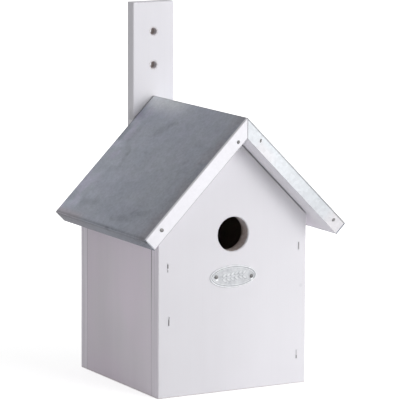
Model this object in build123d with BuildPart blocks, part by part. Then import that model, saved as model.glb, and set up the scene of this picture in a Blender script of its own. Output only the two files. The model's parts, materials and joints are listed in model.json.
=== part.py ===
from build123d import *
import math
import os

# A gable-roofed nest box of painted boards, with a folded zinc roof and a hanging batten.
# Millimetres, +Z up, front facing -Y. The origin is under the middle of the whole object.

# Boards
body_width = 154.5
body_depth = 156.0
wall_height = 160.0
wall_thickness = 13.0
floor_thickness = 12.0
drain_cut = 12.0
arris = 0.6

# Roof
roof_pitch = 45.0
roof_thickness = 13.0
roof_length = 146.6
front_overhang = 24.7
zinc_gauge = 0.6
bend_radius = 0.8
seam_width = 0.5

# Gaps that show: over the front wall's slopes and down the side walls' front joints
slope_gap = 1.0
joint_gap = 0.8

# Entrance and the oval plate under it
entrance_diameter = 32.0
entrance_height = 146.0
plate_length = 49.4
plate_width = 21.5
plate_thickness = 0.8
plate_drop = 39.1
rim_width = 1.5
rim_rise = 0.5

# Hanging batten, its two holes and the screws that hold it
batten_width = 43.5
batten_thickness = 12.0
batten_length = 345.5
hanging_hole_diameter = 7.0
hanging_hole_drop = 28.4
hanging_hole_spacing = 32.0
screw_head_diameter = 7.0
screw_shank_diameter = 3.5
screw_bite = 8.0
screw_heights = {"upper": 190.0, "lower": 40.0}

# Round nails in the zinc and in the plate
nail_head_diameter = 3.2
nail_head_height = 0.7
nail_shank_diameter = 1.6
verge_nail_length = 14.0
plate_nail_length = 9.0

# Staples that hold the front and back walls to the side walls
staple_crown = 8.4
staple_leg = 25.0
staple_wire_width = 1.1
staple_wire_thickness = 0.7
staple_bend = 0.6
staple_proud = 0.35

# Room round a shank or a leg in its pocket
fastener_clearance = 0.1

# Where the fasteners stand, as run down the slope from the ridge or up from the eave, and depth
# under the sheet
front_upper_nails = {"left": (21.7, 8.2), "right": (24.7, 5.4)}
front_lower_nails = {"left": (17.3, 5.5), "right": (11.4, 5.8)}
rear_upper_nail_beside_batten = 10.0
rear_lower_nail_from_eave = 14.0
rear_nail_depth = 6.0
plate_nail_left = (-17.9, 0.7)
plate_nail_right = (18.9, -1.2)

# Staple places: in from the side wall's inner face, then down from the eave or up from the ground
upper_staples = {"left": (3.4, 39.6), "right": (5.2, 30.4)}
lower_staples = {"left": (2.2, 70.9), "right": (3.8, 27.3)}
rear_upper_staple = (4.0, 35.0)
rear_lower_staple = (4.0, 45.0)

# Places worked out from the sizes above
pitch = math.radians(roof_pitch)
half_width = body_width / 2
apex_height = wall_height + half_width * math.tan(pitch)
ridge_height = apex_height + roof_thickness / math.cos(pitch)
reach_in_front = front_overhang + zinc_gauge + nail_head_height
front_y = (reach_in_front - body_depth - batten_thickness) / 2
back_y = front_y + body_depth
roof_front_y = front_y - front_overhang
verge_front_y = roof_front_y - zinc_gauge
roof_back_y = back_y - zinc_gauge
plate_height = entrance_height - plate_drop
side_signs = {"left": -1, "right": 1}

front_plane = Plane(origin=(0, front_y, 0), x_dir=(1, 0, 0), z_dir=(0, -1, 0))
back_plane = Plane(origin=(0, back_y, 0), x_dir=(-1, 0, 0), z_dir=(0, 1, 0))
verge_plane = Plane(origin=(0, verge_front_y, 0), x_dir=(1, 0, 0), z_dir=(0, -1, 0))
batten_plane = Plane(origin=(0, back_y + batten_thickness, 0), x_dir=(-1, 0, 0), z_dir=(0, 1, 0))
soffit_plane = Plane(
    origin=(0, 0, apex_height),
    x_dir=(0, 1, 0),
    z_dir=(math.sin(pitch), 0, math.cos(pitch)),
)


def slope_point(side, run, depth):
    """Gable-plane point a run down one slope from the ridge and a depth under the boards' top."""
    x = run * math.cos(pitch) - depth * math.sin(pitch)
    z = ridge_height - run * math.sin(pitch) - depth * math.cos(pitch)
    return (side * x, z)


def chevron(top_depth, under_depth, end_run):
    """Closed outline of both slopes between two depths, ended square to the slope."""
    return [
        (0, ridge_height - top_depth / math.cos(pitch)),
        slope_point(1, end_run, top_depth),
        slope_point(1, end_run, under_depth),
        (0, ridge_height - under_depth / math.cos(pitch)),
        slope_point(-1, end_run, under_depth),
        slope_point(-1, end_run, top_depth),
    ]


def facing_front(x, z, y):
    """A place on a face that looks to the front."""
    return Location((x, y, z))


def facing_back(x, z, y):
    """A place on a face that looks to the back."""
    return Location((x, y, z), (0, 0, 180))


def finish(builder, name):
    """Label a finished piece and write it."""
    builder.part.label = name
    export_step(builder.part, f"parts/{name}.step")
    print(name, round(builder.part.volume, 1), "mm3")


os.makedirs("parts", exist_ok=True)

# Places of the verge nails
verge_nail_places = {}
for side_name, side in side_signs.items():
    upper_run, upper_depth = front_upper_nails[side_name]
    lower_from_eave, lower_depth = front_lower_nails[side_name]
    x, z = slope_point(side, upper_run, upper_depth)
    verge_nail_places[f"front_verge_nail_{side_name}_upper"] = facing_front(x, z, verge_front_y)
    x, z = slope_point(side, roof_length - lower_from_eave, lower_depth)
    verge_nail_places[f"front_verge_nail_{side_name}_lower"] = facing_front(x, z, verge_front_y)
    beside_batten = batten_width / 2 + rear_upper_nail_beside_batten
    x, z = slope_point(side, beside_batten / math.cos(pitch), rear_nail_depth)
    verge_nail_places[f"rear_verge_nail_{side_name}_upper"] = facing_back(x, z, back_y)
    x, z = slope_point(side, roof_length - rear_lower_nail_from_eave, rear_nail_depth)
    verge_nail_places[f"rear_verge_nail_{side_name}_lower"] = facing_back(x, z, back_y)

# Places of the staples
staple_places = {}
for side_name, side in side_signs.items():
    inner_face = half_width - wall_thickness
    inset, drop = upper_staples[side_name]
    place = facing_front(side * (inner_face + inset), wall_height - drop, front_y)
    staple_places[f"front_staple_{side_name}_upper"] = place
    inset, rise = lower_staples[side_name]
    place = facing_front(side * (inner_face + inset), rise, front_y)
    staple_places[f"front_staple_{side_name}_lower"] = place
    inset, drop = rear_upper_staple
    place = facing_back(side * (inner_face + inset), wall_height - drop, back_y)
    staple_places[f"rear_staple_{side_name}_upper"] = place
    inset, rise = rear_lower_staple
    place = facing_back(side * (inner_face + inset), rise, back_y)
    staple_places[f"rear_staple_{side_name}_lower"] = place

plate_nail_places = {
    "plate_nail_left": facing_front(
        plate_nail_left[0], plate_height + plate_nail_left[1], front_y - plate_thickness
    ),
    "plate_nail_right": facing_front(
        plate_nail_right[0], plate_height + plate_nail_right[1], front_y - plate_thickness
    ),
}

# One round nail and the pocket that takes its shank, head towards -Y
nail_shapes = {}
pocket_shapes = {}
for use, length in (("verge", verge_nail_length), ("plate", plate_nail_length)):
    with BuildPart() as nail:
        with BuildSketch(Plane.XY):
            with BuildLine():
                Polyline(
                    (0, -nail_head_height),
                    (nail_head_diameter / 2, -nail_head_height),
                    (nail_head_diameter / 2, 0),
                    (nail_shank_diameter / 2, 0),
                    (nail_shank_diameter / 2, length),
                    (0, length),
                    close=True,
                )
            make_face()
        revolve(axis=Axis.Y)
    nail_shapes[use] = nail.part
    with BuildPart() as pocket:
        with BuildSketch(Plane.XZ):
            Circle(nail_shank_diameter / 2 + fastener_clearance)
        extrude(amount=-(length + fastener_clearance))
    pocket_shapes[use] = pocket.part

# One staple and its pocket: crown upright on the face, legs into the wood
with BuildPart() as staple:
    with BuildSketch(Plane.YZ):
        with Locations((staple_leg / 2 - staple_proud, 0)):
            Rectangle(staple_leg, staple_crown)
        with Locations((staple_leg / 2 - staple_proud + staple_wire_thickness, 0)):
            Rectangle(
                staple_leg, staple_crown - 2 * staple_wire_thickness, mode=Mode.SUBTRACT
            )
    extrude(amount=staple_wire_width / 2, both=True)
    crown_corners = staple.edges().filter_by(Axis.X).group_by(Axis.Y)[0]
    fillet(crown_corners, radius=staple_bend)

with BuildPart() as staple_pocket:
    slot_height = staple_crown + 2 * fastener_clearance
    slot_depth = staple_leg - staple_proud + fastener_clearance
    groove_depth = staple_wire_thickness - staple_proud + fastener_clearance
    bridge_height = staple_crown - 2 * (staple_wire_thickness + fastener_clearance)
    with BuildSketch(Plane.YZ):
        with Locations((slot_depth / 2, 0)):
            Rectangle(slot_depth, slot_height)
        with Locations((slot_depth / 2 + groove_depth, 0)):
            Rectangle(slot_depth, bridge_height, mode=Mode.SUBTRACT)
    extrude(amount=staple_wire_width / 2 + fastener_clearance, both=True)

# House-shaped outline of the back wall, and the front wall's with its gap under the roof
with BuildSketch() as back_outline:
    with BuildLine():
        Polyline(
            (-half_width, 0),
            (half_width, 0),
            (half_width, wall_height),
            (0, apex_height),
            (-half_width, wall_height),
            close=True,
        )
    make_face()

gap_drop = slope_gap / math.cos(pitch)
with BuildSketch() as front_outline:
    with BuildLine():
        Polyline(
            (-half_width, 0),
            (half_width, 0),
            (half_width, wall_height - gap_drop),
            (0, apex_height - gap_drop),
            (-half_width, wall_height - gap_drop),
            close=True,
        )
    make_face()

# Front wall, with the entrance bored through it
with BuildPart() as front_wall:
    with BuildSketch(front_plane):
        add(front_outline.sketch_local)
    extrude(amount=-wall_thickness)
    front_face = front_wall.faces().sort_by(Axis.Y)[0]
    fillet(front_face.edges().filter_by(Axis.Z), radius=arris)
    with Locations(front_plane.location * Location((0, entrance_height, 0))):
        Hole(radius=entrance_diameter / 2)
    rim_edge = front_wall.edges().filter_by(GeomType.CIRCLE).sort_by(Axis.Y)[0]
    chamfer(rim_edge, length=arris)
    with Locations(*staple_places.values()):
        add(staple_pocket.part, mode=Mode.SUBTRACT)
    with Locations(*plate_nail_places.values()):
        add(pocket_shapes["plate"], mode=Mode.SUBTRACT)
finish(front_wall, "front_wall")

# Back wall, full width like the front one
with BuildPart() as back_wall:
    with BuildSketch(back_plane):
        add(back_outline.sketch_local)
    extrude(amount=-wall_thickness)
    rear_face = back_wall.faces().sort_by(Axis.Y)[-1]
    fillet(rear_face.edges().filter_by(Axis.Z), radius=arris)
    with Locations(*staple_places.values()):
        add(staple_pocket.part, mode=Mode.SUBTRACT)
    with Locations(*[
        back_plane.location * Location((0, height, 0)) for height in screw_heights.values()
    ]):
        Hole(radius=screw_shank_diameter / 2 + fastener_clearance, depth=screw_bite)
finish(back_wall, "back_wall")

# Side walls between them, bevelled to the soffit, leaning away from the front wall at the top
with BuildPart() as side_blank:
    with BuildSketch(Plane.YZ.offset(half_width - wall_thickness)):
        with BuildLine():
            Polyline(
                (front_y + wall_thickness, 0),
                (back_y - wall_thickness, 0),
                (back_y - wall_thickness, apex_height),
                (front_y + wall_thickness + joint_gap * apex_height / wall_height, apex_height),
                close=True,
            )
        make_face()
    extrude(amount=wall_thickness)
    split(bisect_by=soffit_plane, keep=Keep.BOTTOM)

for side_name, side in side_signs.items():
    with BuildPart() as side_wall:
        if side > 0:
            add(side_blank.part)
        else:
            mirror(side_blank.part, about=Plane.YZ)
        with Locations(*staple_places.values()):
            add(staple_pocket.part, mode=Mode.SUBTRACT)
    finish(side_wall, f"{side_name}_side_wall")

# Floor between the four walls, its corners cut off to drain it
with BuildPart() as floor_board:
    with BuildSketch(Plane.XY):
        with Locations((0, (front_y + back_y) / 2)):
            Rectangle(body_width - 2 * wall_thickness, body_depth - 2 * wall_thickness)
    extrude(amount=floor_thickness)
    chamfer(floor_board.edges().filter_by(Axis.Z), length=drain_cut)
finish(floor_board, "floor_board")

# Both roof boards in one piece, eased where the sheet bends over them, then parted at the ridge
with BuildPart() as roof_boards:
    with BuildSketch(Plane.XZ.offset(-roof_back_y)):
        with BuildLine():
            Polyline(*chevron(0, roof_thickness, roof_length), close=True)
        make_face()
    extrude(amount=roof_back_y - roof_front_y)
    slope_faces = roof_boards.faces().sort_by(Axis.Z)[-2:]
    fillet(slope_faces.edges(), radius=bend_radius)

for side_name, keep in (("left", Keep.BOTTOM), ("right", Keep.TOP)):
    with BuildPart() as roof_board:
        add(roof_boards.part)
        split(bisect_by=Plane.YZ, keep=keep)
        with Locations(*verge_nail_places.values()):
            add(pocket_shapes["verge"], mode=Mode.SUBTRACT)
    finish(roof_board, f"{side_name}_roof_board")

# Zinc cover: one sheet folded over the ridge, down both eaves and over both verges
with BuildPart() as zinc_roof_cover:
    with BuildSketch(Plane.XZ.offset(-back_y)):
        with BuildLine():
            Polyline(*chevron(-zinc_gauge, roof_thickness, roof_length + zinc_gauge), close=True)
        make_face()
    extrude(amount=back_y - verge_front_y)
    sheet_faces = zinc_roof_cover.faces().sort_by(Axis.Z)[-2:]
    fillet(sheet_faces.edges(), radius=bend_radius + zinc_gauge)
    add(roof_boards.part, mode=Mode.SUBTRACT)
    # the notch that lets the verge flanges meet at the ridge, and the slits at the eaves' corners
    seam_top = ridge_height - bend_radius / math.cos(pitch)
    with BuildSketch(verge_plane):
        with Locations((0, seam_top)):
            Rectangle(seam_width, roof_thickness / math.cos(pitch), align=(Align.CENTER, Align.MAX))
        for side in side_signs.values():
            Polygon(
                slope_point(side, roof_length - seam_width, bend_radius),
                slope_point(side, roof_length, bend_radius),
                slope_point(side, roof_length, roof_thickness),
                slope_point(side, roof_length - seam_width, roof_thickness),
                align=None,
            )
    extrude(amount=-(back_y - verge_front_y), mode=Mode.SUBTRACT)
    with Locations(*verge_nail_places.values()):
        add(pocket_shapes["verge"], mode=Mode.SUBTRACT)
finish(zinc_roof_cover, "zinc_roof_cover")

# Hanging batten behind the box, with its two hanging holes and countersunk screws
with BuildPart() as hanging_batten:
    with BuildSketch(batten_plane):
        Rectangle(batten_width, batten_length, align=(Align.CENTER, Align.MIN))
    extrude(amount=-batten_thickness)
    long_edges = hanging_batten.edges().filter_by(Axis.Z)
    top_edges = hanging_batten.faces().sort_by(Axis.Z)[-1].edges()
    chamfer(long_edges + top_edges, length=arris)
    upper_hole = batten_length - hanging_hole_drop
    with Locations(
        batten_plane.location * Location((0, upper_hole, 0)),
        batten_plane.location * Location((0, upper_hole - hanging_hole_spacing, 0)),
    ):
        Hole(radius=hanging_hole_diameter / 2)
    with Locations(*[
        batten_plane.location * Location((0, height, 0)) for height in screw_heights.values()
    ]):
        CounterSinkHole(
            radius=screw_shank_diameter / 2 + fastener_clearance,
            counter_sink_radius=screw_head_diameter / 2 + fastener_clearance,
        )
finish(hanging_batten, "hanging_batten")

# Oval plate with a raised rim
with BuildPart() as oval_plate:
    with BuildSketch(front_plane):
        with Locations((0, plate_height)):
            Ellipse(plate_length / 2, plate_width / 2)
    extrude(amount=plate_thickness)
    with BuildSketch(front_plane.offset(plate_thickness)):
        with Locations((0, plate_height)):
            Ellipse(plate_length / 2, plate_width / 2)
            Ellipse(
                plate_length / 2 - rim_width, plate_width / 2 - rim_width, mode=Mode.SUBTRACT
            )
    extrude(amount=rim_rise)
    with Locations(*plate_nail_places.values()):
        add(pocket_shapes["plate"], mode=Mode.SUBTRACT)
finish(oval_plate, "oval_plate")

# Nails in the verges and in the plate
for name, place in verge_nail_places.items():
    with BuildPart() as verge_nail:
        with Locations(place):
            add(nail_shapes["verge"])
    finish(verge_nail, name)

for name, place in plate_nail_places.items():
    with BuildPart() as plate_nail:
        with Locations(place):
            add(nail_shapes["plate"])
    finish(plate_nail, name)

# Staples
for name, place in staple_places.items():
    with BuildPart() as placed_staple:
        with Locations(place):
            add(staple.part)
    finish(placed_staple, name)

# Countersunk screws through the batten into the back wall
screw_length = batten_thickness + screw_bite
head_height = (screw_head_diameter - screw_shank_diameter) / 2
for height_name, height in screw_heights.items():
    with BuildPart() as batten_screw:
        with BuildSketch(Plane.XY):
            with BuildLine():
                Polyline(
                    (0, 0),
                    (screw_head_diameter / 2, 0),
                    (screw_shank_diameter / 2, -head_height),
                    (screw_shank_diameter / 2, -screw_length),
                    (0, -screw_length),
                    close=True,
                )
            make_face()
        revolve(axis=Axis.Y)
    with BuildPart() as placed_screw:
        with Locations((0, back_y + batten_thickness, height)):
            add(batten_screw.part)
    finish(placed_screw, f"batten_screw_{height_name}")
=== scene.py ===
# %% [markdown]
# A nest box is a very small house: painted boards, a sheet of zinc folded over the roof, and a slat
# behind it to hang it by. The solids come from the CAD model and stay where they are. This file
# gives them their finishes, and swaps the smallest pieces (nails, staples, screws and the oval
# plate) for ones with rounder forms. Everything is in metres, with +Z up and the front facing -Y.

# %% The frame
import json
import math

import bpy
import numpy as np
from mathutils import Matrix, Vector


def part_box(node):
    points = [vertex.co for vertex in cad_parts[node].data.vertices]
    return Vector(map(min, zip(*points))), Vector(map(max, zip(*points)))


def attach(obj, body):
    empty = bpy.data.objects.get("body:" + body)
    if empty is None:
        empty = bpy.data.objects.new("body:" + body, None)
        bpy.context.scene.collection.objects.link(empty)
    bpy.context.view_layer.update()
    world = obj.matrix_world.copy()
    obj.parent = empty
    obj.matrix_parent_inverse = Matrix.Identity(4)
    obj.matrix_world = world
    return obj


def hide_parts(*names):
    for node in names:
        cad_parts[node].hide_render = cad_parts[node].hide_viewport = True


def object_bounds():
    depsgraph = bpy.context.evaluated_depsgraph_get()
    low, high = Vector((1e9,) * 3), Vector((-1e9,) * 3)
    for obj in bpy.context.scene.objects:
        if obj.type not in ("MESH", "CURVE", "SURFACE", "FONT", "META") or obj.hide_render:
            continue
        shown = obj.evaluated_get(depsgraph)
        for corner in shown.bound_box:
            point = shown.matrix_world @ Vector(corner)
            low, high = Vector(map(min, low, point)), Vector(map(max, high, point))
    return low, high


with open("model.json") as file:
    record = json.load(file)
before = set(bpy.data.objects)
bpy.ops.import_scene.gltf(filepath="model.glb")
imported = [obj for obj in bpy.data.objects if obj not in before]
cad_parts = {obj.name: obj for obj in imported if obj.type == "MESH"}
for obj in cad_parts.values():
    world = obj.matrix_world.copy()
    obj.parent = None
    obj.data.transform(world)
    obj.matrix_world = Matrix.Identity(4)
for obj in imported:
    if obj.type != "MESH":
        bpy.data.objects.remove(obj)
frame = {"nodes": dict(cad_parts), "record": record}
cad_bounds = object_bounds()
mm = 0.001
cad_corners = [tuple(round(v, 4) for v in corner) for corner in cad_bounds]
print("CAD nodes:", len(frame["nodes"]), "box:", cad_corners)

# %% [markdown]
# The camera looks at the box from the front's left, a little above it, with a long lens, so the
# verticals stay almost parallel. Its place was worked out from the corners of the boards: two turns
# and a distance from a point inside the box, and a very small roll. The camera could be aimed with a
# Track To constraint, but a matrix says the roll as well and leaves nothing live in the file.

# %% Camera
camera_turn = math.radians(-28.835)
camera_rise = math.radians(9.1837)
camera_roll = math.radians(0.253)
camera_distance = 2.77875
camera_target = Vector((-0.00181, -0.0110, 0.16901))
focal_pixels = 2992.98
photo_pixels = 400
sensor_width = 36.0

towards_camera = Vector((
    math.sin(camera_turn) * math.cos(camera_rise),
    -math.cos(camera_turn) * math.cos(camera_rise),
    math.sin(camera_rise),
))
level_right = Vector((math.cos(camera_turn), math.sin(camera_turn), 0))
level_up = towards_camera.cross(level_right)
turned_right = level_right * math.cos(camera_roll) + level_up * math.sin(camera_roll)
turned_up = level_up * math.cos(camera_roll) - level_right * math.sin(camera_roll)
aim = Matrix((turned_right, turned_up, towards_camera)).transposed().to_4x4()

lens = bpy.data.cameras.new("camera")
lens.sensor_width = sensor_width
lens.lens = focal_pixels / photo_pixels * sensor_width
lens.clip_end = 50
camera = bpy.data.objects.new("camera", lens)
bpy.context.scene.collection.objects.link(camera)
camera.matrix_world = Matrix.Translation(camera_target + towards_camera * camera_distance) @ aim
bpy.context.scene.camera = camera
print("camera at", [round(v, 3) for v in camera.location], "lens", round(lens.lens, 1), "mm")

# %% [markdown]
# Shader sums read best as plain arithmetic. A Wire holds one socket of a node, and its operators add
# Math nodes, so 1 - mask is written just so. Any other node comes from Graph.node: its type, then its
# settings, then what goes into its sockets. Writing tree.links.new by hand does the same, but hides
# the formula in a page of wiring.

# %% Shader arithmetic
class Wire:
    """One output socket of a node. Arithmetic on it adds Math nodes to the same graph."""

    def __init__(self, graph, socket):
        self.graph = graph
        self.socket = socket

    def math_node(self, operation, *values):
        return self.graph.node("Math", {"operation": operation}, *values)

    def __add__(self, other):
        return self.math_node("ADD", self, other)

    def __radd__(self, other):
        return self.math_node("ADD", other, self)

    def __sub__(self, other):
        return self.math_node("SUBTRACT", self, other)

    def __rsub__(self, other):
        return self.math_node("SUBTRACT", other, self)

    def __mul__(self, other):
        return self.math_node("MULTIPLY", self, other)

    def __rmul__(self, other):
        return self.math_node("MULTIPLY", other, self)

    def __abs__(self):
        return self.math_node("ABSOLUTE", self)

    def output(self, name):
        """Another output of the same node."""
        return Wire(self.graph, self.socket.node.outputs[name])


# %% A material's nodes
class Graph:
    """The nodes of one material, with its Principled shader as self.shader."""

    def __init__(self, name):
        self.material = bpy.data.materials.new(name)
        self.material.use_nodes = True
        self.tree = self.material.node_tree
        self.shader = self.tree.nodes["Principled BSDF"]
        self.point = self.node("TexCoord", {}).output("Object")
        split = self.node("SeparateXYZ", {}, self.point)
        self.x = split.output("X")
        self.y = split.output("Y")
        self.z = split.output("Z")

    def feed(self, socket, value):
        """Link a wire into a socket, or set its plain value."""
        if isinstance(value, Wire):
            self.tree.links.new(value.socket, socket)
        elif socket.type == "RGBA" and len(value) == 3:
            socket.default_value = (*value, 1)
        else:
            socket.default_value = value

    def node(self, kind, settings, *values, **named):
        """One node: its type, its settings, then the values or links of its sockets."""
        made = self.tree.nodes.new("ShaderNode" + kind)
        for setting, value in settings.items():
            setattr(made, setting, value)
        sockets = [socket for socket in made.inputs if socket.enabled]
        for socket, value in zip(sockets, values):
            self.feed(socket, value)
        for name, value in named.items():
            wanted = name.replace("_", " ")
            self.feed(next(socket for socket in sockets if socket.name == wanted), value)
        return Wire(self, next(socket for socket in made.outputs if socket.enabled))

    def stretch(self, factors):
        """Object coordinates times three factors, in features per metre."""
        return self.node("VectorMath", {"operation": "MULTIPLY"}, self.point, factors)

    def noise(self, factors, detail=3.0, roughness=0.5):
        """Fractal noise from 0 to 1, with about that many features per metre along each axis."""
        return self.node(
            "TexNoise", {}, self.stretch(factors), Scale=1.0, Detail=detail, Roughness=roughness
        )

    def smooth_step(self, value, low, high, below, above):
        """A step from one number to another, smooth between low and high."""
        settings = {"interpolation_type": "SMOOTHSTEP"}
        return self.node("MapRange", settings, value, low, high, below, above)

    def rise(self, value, low, high):
        """0 below low, 1 above high and a smooth step between them."""
        return self.smooth_step(value, low, high, 0.0, 1.0)

    def fall(self, value, low, high):
        """1 below low, 0 above high and a smooth step between them."""
        return self.smooth_step(value, low, high, 1.0, 0.0)

    def larger(self, first, second):
        """The larger of two values."""
        return self.node("Math", {"operation": "MAXIMUM"}, first, second)

    def distance(self, place):
        """How far the shaded point is from a place."""
        return self.node("VectorMath", {"operation": "DISTANCE"}, self.point, place).output("Value")

    def mix(self, factor, first, second):
        """A colour between two, by a factor."""
        return self.node("Mix", {"data_type": "RGBA"}, Factor=factor, A=first, B=second)

    def shade(self, colour, tone):
        """A colour times a number that varies."""
        grey = self.node("CombineColor", {}, tone, tone, tone)
        settings = {"data_type": "RGBA", "blend_type": "MULTIPLY"}
        return self.node("Mix", settings, Factor=1.0, A=colour, B=grey)

    def bump(self, height, distance, strength=1.0):
        """Bump from a height between 0 and 1 that stands for a distance in metres."""
        return self.node("Bump", {}, Strength=strength, Distance=distance, Height=height)

    def report(self):
        """Print how many nodes the material has by now."""
        print("material", self.material.name, "has", len(self.tree.nodes), "nodes")

    def finish(self, plain, varied):
        """Constants go on the shader's own sockets, and what varies is linked to them."""
        for name, value in plain.items():
            self.feed(self.shader.inputs[name], value)
        for name, wire in varied.items():
            self.feed(self.shader.inputs[name], wire)
        self.report()
        return self.material


# %% Dressing the solids
def dress(material, *nodes):
    """Give CAD nodes a material through their slots."""
    for name in nodes:
        for material_slot in frame["nodes"][name].material_slots:
            material_slot.material = material
        print(name, "is finished in", material.name)


# %% [markdown]
# The box stands on a white table in a plain studio. The table is one big sheet. It is a pale diffuse
# surface, so it throws light back up at the walls, and it keeps the box's shadow. For the camera and
# for reflections white is added to it through Light Path, and less of it near the box, so that the
# table reads as white and the soft shadow still shows on it.

# %% Table
table_half = 12.0
table_drop = 0.3 * mm
table_grey = (0.82, 0.82, 0.82)
reflected_share = 0.6
least_glow = 0.61
glow_grows_from = 0.2
glow_full_from = 0.6
table_points = np.array([
    (-table_half, -table_half, -table_drop),
    (table_half, -table_half, -table_drop),
    (table_half, table_half, -table_drop),
    (-table_half, table_half, -table_drop),
])
table_mesh = bpy.data.meshes.new("table")
table_mesh.from_pydata(table_points.tolist(), [], [(0, 1, 2, 3)])
table = bpy.data.objects.new("table", table_mesh)
bpy.context.scene.collection.objects.link(table)

graph = Graph("table_white")
path = graph.node("LightPath", {})
seen = graph.larger(path.output("Is Camera Ray"), reflected_share * path.output("Is Glossy Ray"))
away = graph.rise(graph.distance((0, 0, 0)), glow_grows_from, glow_full_from)
glow = least_glow + (1 - least_glow) * away
white_glow = graph.node("Emission", {}, (1, 1, 1), seen * glow)
matt = graph.node("BsdfDiffuse", {}, table_grey)
lit = graph.node("AddShader", {}, matt, white_glow)
surface_output = next(node for node in graph.tree.nodes if node.type == "OUTPUT_MATERIAL")
graph.tree.links.new(lit.socket, surface_output.inputs["Surface"])
table_mesh.materials.append(graph.material)
print("table", 2 * table_half, "m wide, glow", least_glow, "near the box and 1 away from it")

# %% [markdown]
# Three soft lights do the work of the studio. The main one stands in front, a little to the right and
# above, so it throws the soft shade under the right side of the roof and leaves the left wall in an
# even half shade. A weaker and nearer one at the right makes the front brighter towards its right
# edge, and a weak one behind keeps the back from going flat. The world fills the rest. Their levels
# were solved as one sum, because light adds up: each was rendered alone, and the shares were fitted
# so that a pale board renders about as bright as its colour is written.

# %% Lights
studio_middle = Vector((0, 0, 0.17))
world_strength = 0.425


def soft_light(name, turn, rise, away, width, height, power):
    """An area light aimed at the box.

    turn is from the front towards the right and rise is from level, in degrees. away, width and height
    are in metres, and power is in watts.
    """
    direction = Vector((
        math.sin(math.radians(turn)) * math.cos(math.radians(rise)),
        -math.cos(math.radians(turn)) * math.cos(math.radians(rise)),
        math.sin(math.radians(rise)),
    ))
    lamp = bpy.data.lights.new(name, "AREA")
    lamp.shape = "RECTANGLE"
    lamp.size = width
    lamp.size_y = height
    lamp.energy = power
    light = bpy.data.objects.new(name, lamp)
    bpy.context.scene.collection.objects.link(light)
    light.matrix_world = (
        Matrix.Translation(studio_middle + direction * away)
        @ direction.to_track_quat("Z", "Y").to_matrix().to_4x4()
    )
    radiance = power / (math.pi * width * height)
    print(name, "radiance", round(radiance, 2))


soft_light("front_light", turn=20, rise=18, away=1.6, width=0.75, height=0.75, power=9.5)
soft_light("right_light", turn=60, rise=12, away=0.9, width=0.7, height=0.7, power=2.3)
soft_light("rear_light", turn=180, rise=30, away=1.6, width=1.2, height=1.2, power=1.6)

world = bpy.data.worlds.new("studio")
bpy.context.scene.world = world
world.use_nodes = True
sky = world.node_tree.nodes["Background"]
sky.inputs["Color"].default_value = (1, 1, 1, 1)
sky.inputs["Strength"].default_value = world_strength
bpy.context.scene.view_settings.view_transform = "Standard"
print("world strength", world_strength)

# %% [markdown]
# The boards are softwood under one thin coat of matt white paint. The paint hides the colour of the
# wood but not its grain, which runs along each board and lifts the paint by a few hundredths of a
# millimetre. Inside the box the wood is bare, and in the entrance and the hanging holes nearly so. A
# finish finds its place by the boards' own boxes, and the hanging holes by the mount that the record
# gives for them.

# %% Sizes that the finishes share
front_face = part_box("front_wall")[0].y
front_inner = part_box("front_wall")[1].y
gable_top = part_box("front_wall")[1].z
back_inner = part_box("back_wall")[0].y
side_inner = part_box("right_side_wall")[0].x
side_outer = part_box("right_side_wall")[1].x
roof_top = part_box("zinc_roof_cover")[1].z
batten_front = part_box("hanging_batten")[0].y
half_root = math.sqrt(0.5)
hair = 0.1 * mm
print("front face at", round(front_face, 4), "gable top at", round(gable_top, 4))

# %% Bores
entrance_radius = 16 * mm
entrance = Vector((0, front_face, 146 * mm))
hole_mount = next(mount for mount in frame["record"]["mounts"] if mount["name"] == "hanging_holes")
hole_radius = hole_mount["dims"]["hole_r_mm"] * mm
hole_spacing = hole_mount["dims"]["spacing_y_mm"] * mm
hanging_holes = [
    Vector((0, batten_front, hole_mount["pos_m"][2] + side * hole_spacing / 2)) for side in (1, -1)
]
hole_heights = [round(hole.z, 4) for hole in hanging_holes]
print("entrance", round(entrance.z, 4), "m up, hanging holes", hole_heights)

# %% Painted wood
bare_wood = (0.50, 0.42, 0.39)
# Painted shade: the dark wood mixed into the bare wood deep in the bores.
deep_shade_wood = (0.13, 0.075, 0.06)
joint_dirt = (0.03, 0.028, 0.028)
grain_lift = 0.1 * mm
mouth_depth = 3.0 * mm
print("bare wood", bare_wood, "stained wood", deep_shade_wood)


def ring(graph, centre, radius, soft):
    """1 within a radius of an axis along Y through centre, and 0 outside it."""
    flat = graph.node("CombineXYZ", {}, graph.x, centre.y, graph.z)
    away = graph.node("VectorMath", {"operation": "DISTANCE"}, flat, centre).output("Value")
    return graph.fall(away, radius, radius + soft)


def features(along, across_grain, with_grain):
    """Features per metre on each axis: few along the grain and many across it."""
    factors = [across_grain, across_grain, across_grain]
    factors["XYZ".index(along)] = with_grain
    return tuple(factors)


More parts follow.
